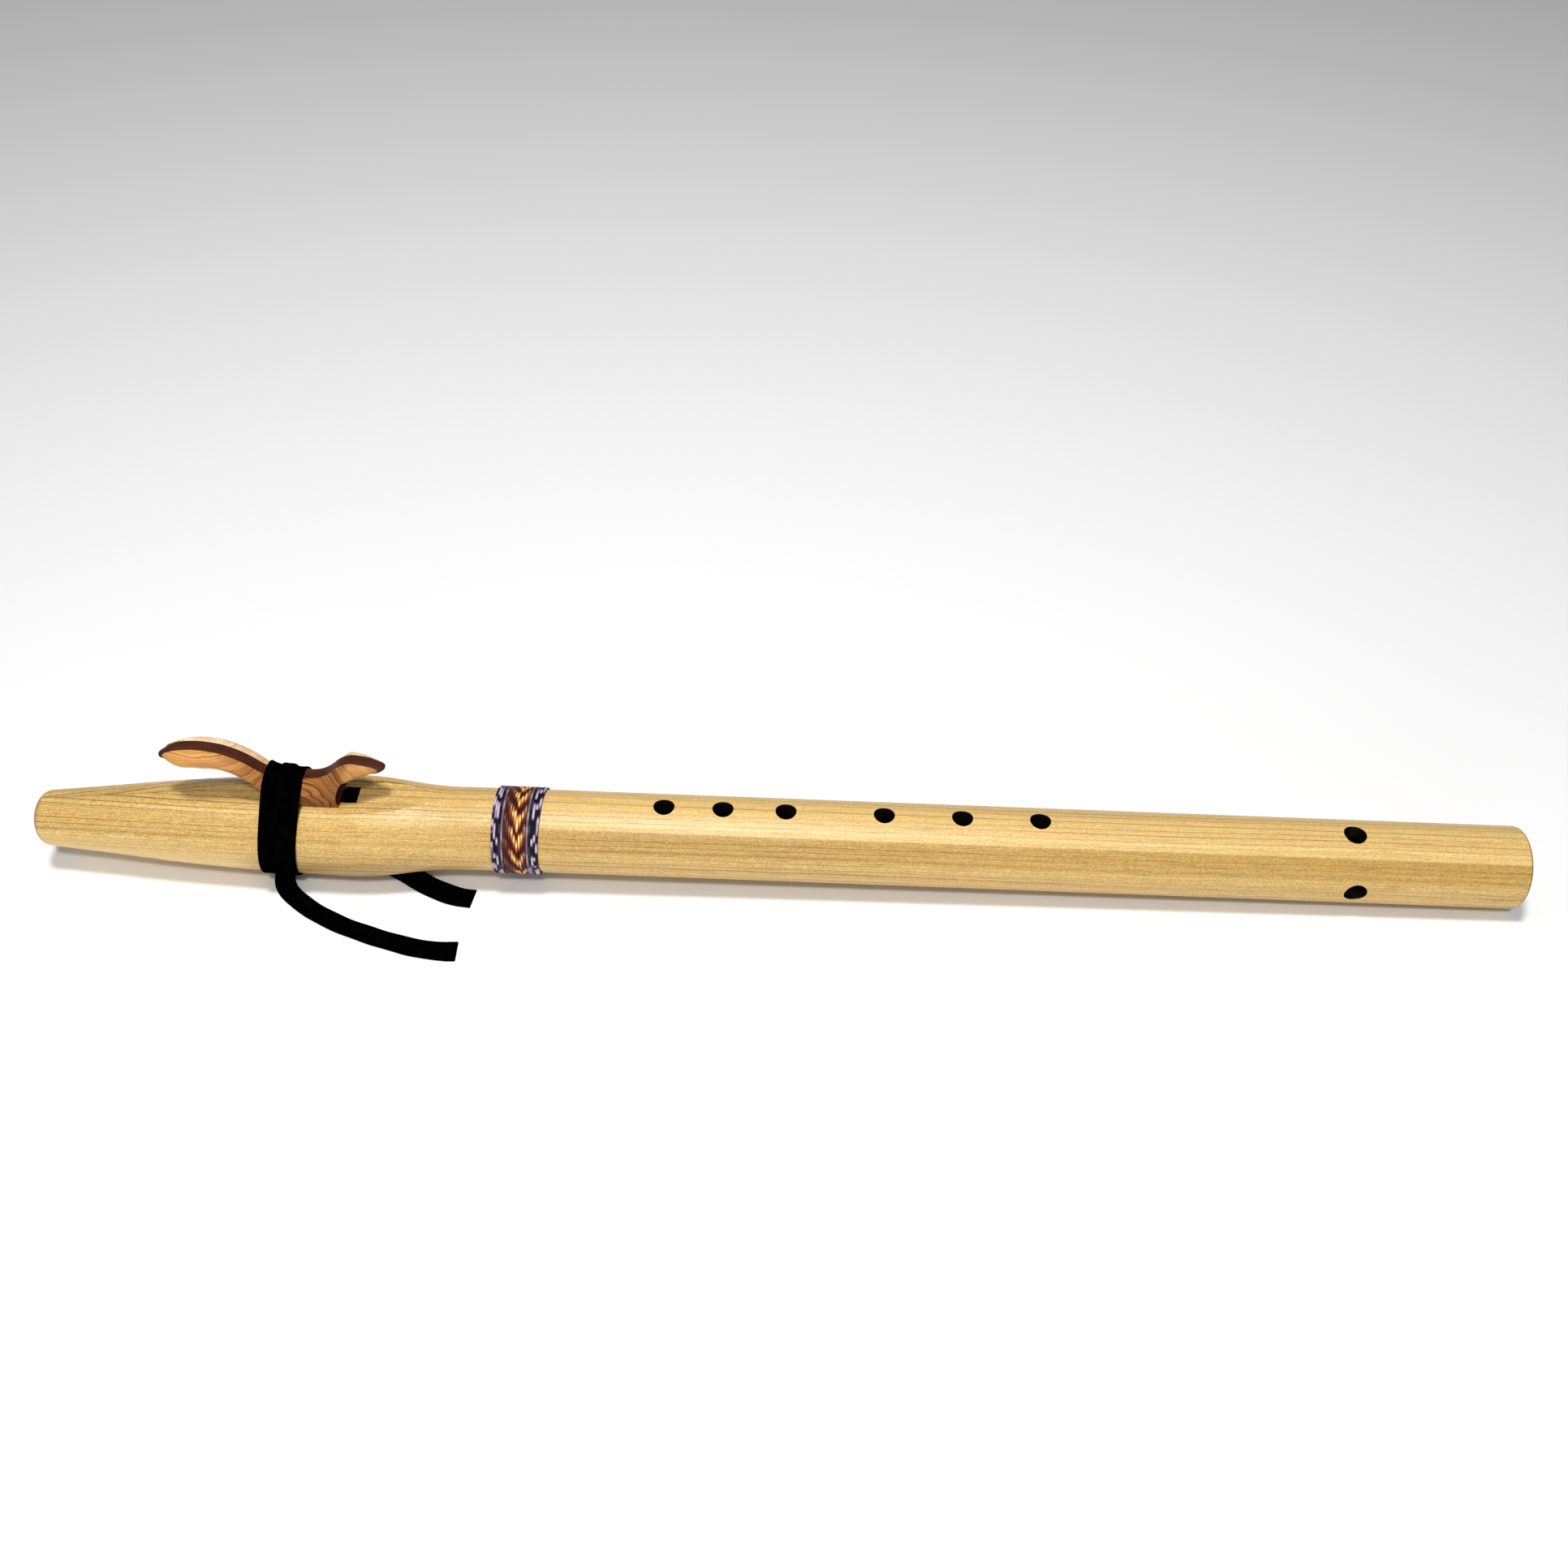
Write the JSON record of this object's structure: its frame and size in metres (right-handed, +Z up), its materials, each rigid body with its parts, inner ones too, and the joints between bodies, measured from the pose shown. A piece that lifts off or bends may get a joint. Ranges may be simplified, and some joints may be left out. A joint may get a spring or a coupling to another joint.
{
  "type": "wooden block flute",
  "caption": "End-blown wooden flute with a carved layered block tied over its windway by a suede lace, finger holes and a thread-bound neck.",
  "frame": {"origin": "on the table, midway along the flute, under its axis", "axes": "+X from the mouth end to the foot, +Y to the player's left of the glue joint, +Z up through the nest and the finger holes"},
  "size_m": [0.5862, 0.0714, 0.0638],
  "materials": {
    "body_wood": "satin oiled straw-coloured wood",
    "dark_wood": "satin dark red-brown wood",
    "figured_wood": "satin figured orange-brown wood",
    "suede": "matte black suede",
    "thread_two_tone": "lilac and black twisted thread",
    "thread_variegated": "orange, yellow and maroon variegated thread"
  },
  "bodies": {
    "flute": {"body_left_half": "body_wood", "body_right_half": "body_wood", "thread_band_mouth": "thread_two_tone", "thread_band_middle": "thread_variegated", "thread_band_foot": "thread_two_tone"},
    "block": {"block_core": "dark_wood", "block_left_side": "figured_wood", "block_right_side": "figured_wood", "lace_band": "suede", "lace_knot": "suede", "lace_tail_front": "suede", "lace_tail_back": "suede"}
  },
  "joints": [
    {"name": "block_slide", "type": "slide", "parent": "flute", "child": "block", "axis": [0.9999, 0, -0.0143], "range_m": [-0.004, 0.001]}
  ]
}
